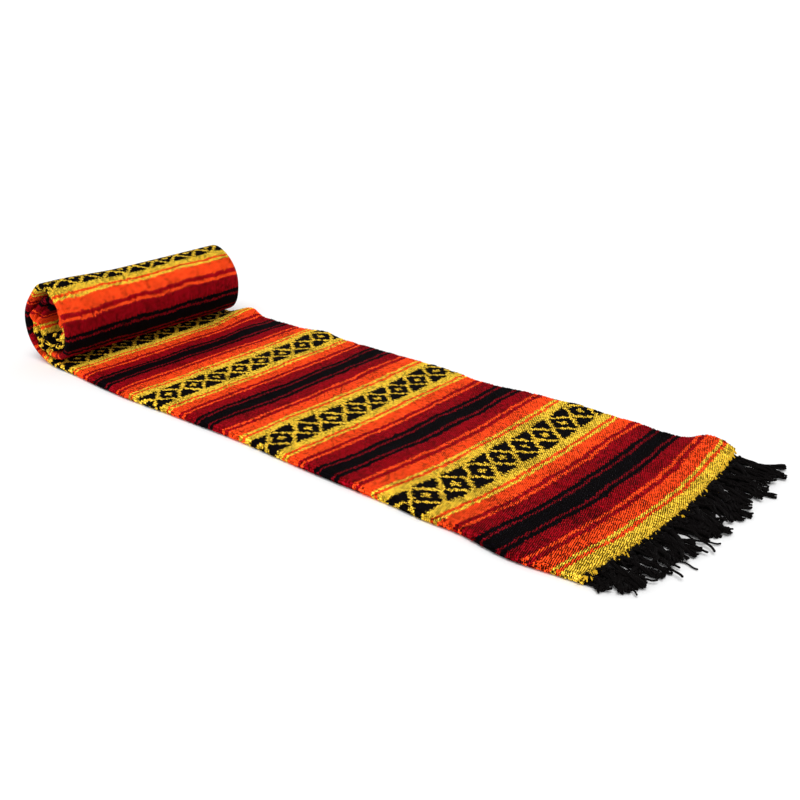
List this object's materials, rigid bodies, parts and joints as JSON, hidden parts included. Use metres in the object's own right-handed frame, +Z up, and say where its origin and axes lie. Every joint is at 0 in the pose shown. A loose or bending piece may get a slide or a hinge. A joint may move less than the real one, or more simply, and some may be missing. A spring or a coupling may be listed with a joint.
{
  "type": "mexican serape",
  "caption": "Striped weft-faced serape blanket with dark fringe, folded lengthwise into a narrow stack, laid flat, with its far end rolled up on top.",
  "frame": {"origin": "below the middle of the whole laid-out serape, on the surface it lies on", "axes": "+Z up, +Y along the blanket from the near fringe towards the roll, +X across the folded width from the double fold to the single fold"},
  "size_m": [0.3706, 1.1238, 0.1338],
  "materials": {
    "striped_weave": "matte, coarse weft-faced weave in black, dark red, orange and yellow stripes",
    "black_fringe": "matte black plied yarn, knotted"
  },
  "bodies": {
    "root": {"run_outer_ply": "striped_weave", "run_hidden_plies": "striped_weave", "roll_outer_ply": "striped_weave", "roll_hidden_turns": "striped_weave", "fringe_near": "black_fringe", "fringe_far": "black_fringe"}
  },
  "joints": []
}
